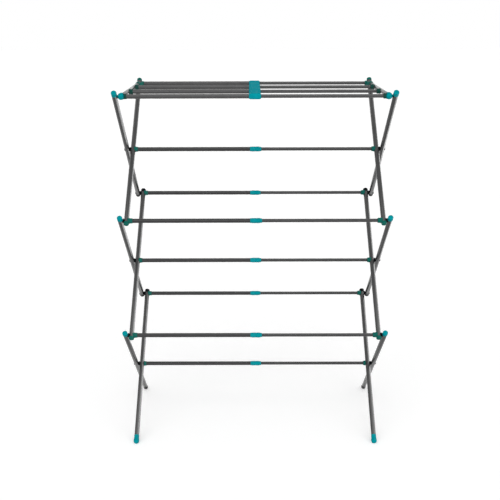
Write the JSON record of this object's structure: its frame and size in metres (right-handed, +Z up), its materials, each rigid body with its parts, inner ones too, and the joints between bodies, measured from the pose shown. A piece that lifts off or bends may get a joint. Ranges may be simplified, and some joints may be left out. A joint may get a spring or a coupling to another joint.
{
  "type": "folding clothes airer",
  "caption": "Folding clothes airer: scissor sides of crossed tubes, telescopic rails between them and a flat rack that lifts on its back hinge.",
  "frame": {"origin": "on the floor, under the middle of the open airer's box", "axes": "+Z up, +X along the rails towards the side that pulls out, -Y towards the front"},
  "size_m": [0.762, 0.4346, 1.0395],
  "materials": {
    "grey_tube": "satin grey coating",
    "teal_plastic": "smooth moulded teal",
    "dark_plastic": "moulded near-black"
  },
  "bodies": {
    "base_left": {"pivot_rail_3_tube": "grey_tube", "pivot_collar_3": "teal_plastic", "pivot_hub_3_left": "teal_plastic"},
    "a3_left": {"leg_a3_left": "grey_tube"},
    "b3_left": {"leg_b3_left": "grey_tube", "back_hub_2_left": "teal_plastic", "back_rail_2_tube": "grey_tube", "back_collar_2": "teal_plastic"},
    "b2_left": {"leg_b2_left": "grey_tube", "pivot_hub_2_left": "teal_plastic", "pivot_rail_2_tube": "grey_tube", "pivot_collar_2": "teal_plastic", "front_hub_2_left": "teal_plastic", "front_rail_2_tube": "grey_tube", "front_collar_2": "teal_plastic", "back_hub_1_left": "teal_plastic", "back_rail_1_tube": "grey_tube", "back_collar_1": "teal_plastic"},
    "a2_left": {"leg_a2_left": "grey_tube"},
    "b1_left": {"leg_b1_left": "grey_tube", "top_hub_left": "teal_plastic", "pivot_hub_1_left": "teal_plastic", "pivot_rail_1_tube": "grey_tube", "pivot_collar_1": "teal_plastic", "front_hub_1_left": "teal_plastic", "front_rail_1_tube": "grey_tube", "front_collar_1": "teal_plastic"},
    "a1_left": {"leg_a1_left": "grey_tube"},
    "rack_left": {"rack_arm_left": "grey_tube", "rack_bridge": "teal_plastic", "rack_rail_1_tube": "grey_tube", "rack_rail_2_tube": "grey_tube", "rack_rail_3_tube": "grey_tube", "rack_rail_4_tube": "grey_tube"},
    "base_right": {"pivot_rail_3_slide": "grey_tube", "pivot_hub_3_right": "teal_plastic"},
    "a3_right": {"leg_a3_right": "grey_tube"},
    "b3_right": {"leg_b3_right": "grey_tube", "back_hub_2_right": "teal_plastic", "back_rail_2_slide": "grey_tube"},
    "b2_right": {"leg_b2_right": "grey_tube", "pivot_hub_2_right": "teal_plastic", "pivot_rail_2_slide": "grey_tube", "front_hub_2_right": "teal_plastic", "front_rail_2_slide": "grey_tube", "back_hub_1_right": "teal_plastic", "back_rail_1_slide": "grey_tube"},
    "a2_right": {"leg_a2_right": "grey_tube"},
    "b1_right": {"leg_b1_right": "grey_tube", "top_hub_right": "teal_plastic", "pivot_hub_1_right": "teal_plastic", "pivot_rail_1_slide": "grey_tube", "front_hub_1_right": "teal_plastic", "front_rail_1_slide": "grey_tube"},
    "a1_right": {"leg_a1_right": "grey_tube"},
    "rack_right": {"rack_arm_right": "grey_tube", "rack_rail_1_slide": "grey_tube", "rack_rail_2_slide": "grey_tube", "rack_rail_3_slide": "grey_tube", "rack_rail_4_slide": "grey_tube"}
  },
  "joints": [
    {"name": "fold", "type": "hinge", "parent": "base_left", "child": "a3_left", "pos_m": [0, -0.00262, 0.1751], "axis": [-1, 0, 0], "range_deg": [0, 42]},
    {"name": "fold_b3", "type": "hinge", "parent": "base_left", "child": "b3_left", "pos_m": [0, -0.00262, 0.1751], "axis": [1, 0, 0], "range_deg": [0, 42]},
    {"name": "fold_b2", "type": "hinge", "parent": "a3_left", "child": "b2_left", "pos_m": [0, -0.19912, 0.3437], "axis": [1, 0, 0], "range_deg": [0, 84]},
    {"name": "fold_a2", "type": "hinge", "parent": "b2_left", "child": "a2_left", "pos_m": [0, -0.00262, 0.5123], "axis": [-1, 0, 0], "range_deg": [0, 84]},
    {"name": "fold_b1", "type": "hinge", "parent": "a2_left", "child": "b1_left", "pos_m": [0, -0.19912, 0.6809], "axis": [1, 0, 0], "range_deg": [0, 84]},
    {"name": "fold_a1", "type": "hinge", "parent": "b1_left", "child": "a1_left", "pos_m": [0, -0.00262, 0.8495], "axis": [-1, 0, 0], "range_deg": [0, 84]},
    {"name": "rack_lift", "type": "hinge", "parent": "b1_left", "child": "rack_left", "pos_m": [0, 0.19912, 1.0226], "axis": [-1, 0, 0], "range_deg": [0, 127]},
    {"name": "widen", "type": "slide", "parent": "base_left", "child": "base_right", "axis": [1, 0, 0], "range_m": [-0.112, 0.17]},
    {"name": "widen_a3", "type": "slide", "parent": "a3_left", "child": "a3_right", "axis": [1, 0, 0], "range_m": [-0.112, 0.17]},
    {"name": "widen_b3", "type": "slide", "parent": "b3_left", "child": "b3_right", "axis": [1, 0, 0], "range_m": [-0.112, 0.17]},
    {"name": "widen_b2", "type": "slide", "parent": "b2_left", "child": "b2_right", "axis": [1, 0, 0], "range_m": [-0.112, 0.17]},
    {"name": "widen_a2", "type": "slide", "parent": "a2_left", "child": "a2_right", "axis": [1, 0, 0], "range_m": [-0.112, 0.17]},
    {"name": "widen_b1", "type": "slide", "parent": "b1_left", "child": "b1_right", "axis": [1, 0, 0], "range_m": [-0.112, 0.17]},
    {"name": "widen_a1", "type": "slide", "parent": "a1_left", "child": "a1_right", "axis": [1, 0, 0], "range_m": [-0.112, 0.17]},
    {"name": "widen_rack", "type": "slide", "parent": "rack_left", "child": "rack_right", "axis": [1, 0, 0], "range_m": [-0.112, 0.17]}
  ],
  "couplings": [
    {"joint": "fold_b3", "follows": "fold", "ratio": 1},
    {"joint": "fold_b2", "follows": "fold", "ratio": 2},
    {"joint": "fold_a2", "follows": "fold", "ratio": 2},
    {"joint": "fold_b1", "follows": "fold", "ratio": 2},
    {"joint": "fold_a1", "follows": "fold", "ratio": 2},
    {"joint": "widen_a3", "follows": "widen", "ratio": 1},
    {"joint": "widen_b3", "follows": "widen", "ratio": 1},
    {"joint": "widen_b2", "follows": "widen", "ratio": 1},
    {"joint": "widen_a2", "follows": "widen", "ratio": 1},
    {"joint": "widen_b1", "follows": "widen", "ratio": 1},
    {"joint": "widen_a1", "follows": "widen", "ratio": 1},
    {"joint": "widen_rack", "follows": "widen", "ratio": 1}
  ]
}
